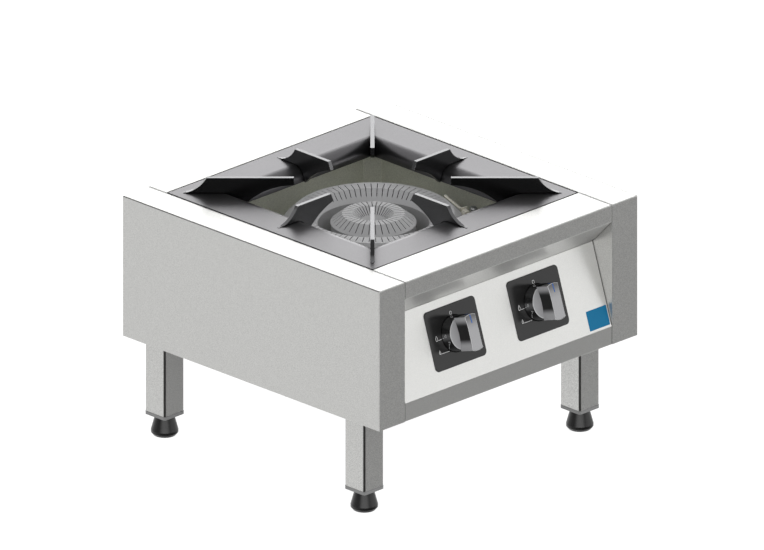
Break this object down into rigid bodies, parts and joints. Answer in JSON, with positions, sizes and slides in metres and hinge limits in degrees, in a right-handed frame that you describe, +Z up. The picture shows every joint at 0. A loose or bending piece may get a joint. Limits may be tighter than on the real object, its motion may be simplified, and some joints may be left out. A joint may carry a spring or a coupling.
{
  "type": "floor gas stove",
  "caption": "Low square floor gas stove on short legs: double-ring burner in a well under a lift-off pan support, push-and-turn knobs on a sloped panel.",
  "frame": {"origin": "on the floor, under the middle of the casing", "axes": "+Z up, -Y the front with the knobs, +X to the right seen from the front"},
  "size_m": [0.5, 0.5456, 0.374],
  "materials": {
    "stainless": "fine-grained satin stainless sheet",
    "leg_steel": "fine-grained satin stainless tube",
    "zinc_steel": "zinc-plated steel",
    "well_steel": "stainless, warmed and dulled by heat",
    "pan_support_iron": "dark satin enamel on iron plate",
    "burner_iron": "machined and bead-blasted iron",
    "brass": "plain turned brass",
    "copper": "drawn copper tube",
    "knob_plating": "satin chrome plating",
    "bezel_black": "dark grey lacquered plate with pale marks",
    "cap_grey": "moulded grey plastic",
    "foot_black": "moulded black plastic"
  },
  "bodies": {
    "casing": {"left_side_casing": "stainless", "right_side_casing": "stainless", "front_fascia": "stainless", "control_panel": "stainless", "rear_panel": "stainless", "leg_front_left": "leg_steel", "leg_front_right": "leg_steel", "leg_rear_left": "leg_steel", "leg_rear_right": "leg_steel", "base_plate": "zinc_steel", "gas_rail": "zinc_steel", "gas_supply_pipe": "zinc_steel", "casing_screws": "zinc_steel", "leg_bolts": "zinc_steel", "burner_screws": "zinc_steel", "pilot_bracket": "zinc_steel", "burner_well": "well_steel", "outer_burner_body": "burner_iron", "inner_burner_body": "burner_iron", "outer_mixing_tube": "burner_iron", "inner_mixing_tube": "burner_iron", "outer_injector": "brass", "inner_injector": "brass", "tap_body_left": "brass", "tap_body_right": "brass", "gas_inlet_fitting": "brass", "pilot_burner": "brass", "pilot_tube": "copper", "thermocouple": "copper", "outer_gas_tube": "copper", "inner_gas_tube": "copper", "bezel_left": "bezel_black", "bezel_right": "bezel_black", "leg_cap_front_left": "cap_grey", "leg_cap_front_right": "cap_grey", "leg_cap_rear_left": "cap_grey", "leg_cap_rear_right": "cap_grey"},
    "pan_support": {"pan_support_frame": "pan_support_iron", "pan_arm_right": "pan_support_iron", "pan_arm_rear": "pan_support_iron", "pan_arm_left": "pan_support_iron", "pan_arm_front": "pan_support_iron", "pan_arm_rear_right": "pan_support_iron", "pan_arm_rear_left": "pan_support_iron", "pan_arm_front_left": "pan_support_iron", "pan_arm_front_right": "pan_support_iron"},
    "flame_ring": {"outer_burner_ring": "burner_iron"},
    "centre_head": {"inner_burner_head": "burner_iron"},
    "foot_front_left": {"foot_front_left": "foot_black"},
    "foot_front_right": {"foot_front_right": "foot_black"},
    "foot_rear_left": {"foot_rear_left": "foot_black"},
    "foot_rear_right": {"foot_rear_right": "foot_black"},
    "plug_left": {"tap_plug_left": "brass", "tap_spring_left": "zinc_steel"},
    "knob_left": {"tap_spindle_left": "zinc_steel", "knob_left": "knob_plating"},
    "plug_right": {"tap_plug_right": "brass", "tap_spring_right": "zinc_steel"},
    "knob_right": {"tap_spindle_right": "zinc_steel", "knob_right": "knob_plating"}
  },
  "joints": [
    {"name": "pan_support_lift", "type": "slide", "parent": "casing", "child": "pan_support", "axis": [0, 0, 1], "range_m": [0, 0.12]},
    {"name": "flame_ring_lift", "type": "slide", "parent": "casing", "child": "flame_ring", "axis": [0, 0, 1], "range_m": [0, 0.012]},
    {"name": "centre_head_lift", "type": "slide", "parent": "casing", "child": "centre_head", "axis": [0, 0, 1], "range_m": [0, 0.06]},
    {"name": "foot_front_left_screw", "type": "slide", "parent": "casing", "child": "foot_front_left", "axis": [0, 0, -1], "range_m": [0, 0.02]},
    {"name": "foot_front_right_screw", "type": "slide", "parent": "casing", "child": "foot_front_right", "axis": [0, 0, -1], "range_m": [0, 0.02]},
    {"name": "foot_rear_left_screw", "type": "slide", "parent": "casing", "child": "foot_rear_left", "axis": [0, 0, -1], "range_m": [0, 0.02]},
    {"name": "foot_rear_right_screw", "type": "slide", "parent": "casing", "child": "foot_rear_right", "axis": [0, 0, -1], "range_m": [0, 0.02]},
    {"name": "tap_left_turn", "type": "hinge", "parent": "casing", "child": "plug_left", "pos_m": [-0.0831, -0.22692, 0.23695], "axis": [0, -0.9507, 0.31], "range_deg": [0, 135]},
    {"name": "knob_left_push", "type": "slide", "parent": "plug_left", "child": "knob_left", "axis": [0, 0.9507, -0.31], "range_m": [0, 0.004], "stiffness_N_per_m": 1500, "springref_m": -0.003},
    {"name": "tap_right_turn", "type": "hinge", "parent": "casing", "child": "plug_right", "pos_m": [0.0769, -0.22692, 0.23695], "axis": [0, -0.9507, 0.31], "range_deg": [0, 135]},
    {"name": "knob_right_push", "type": "slide", "parent": "plug_right", "child": "knob_right", "axis": [0, 0.9507, -0.31], "range_m": [0, 0.004], "stiffness_N_per_m": 1500, "springref_m": -0.003}
  ]
}
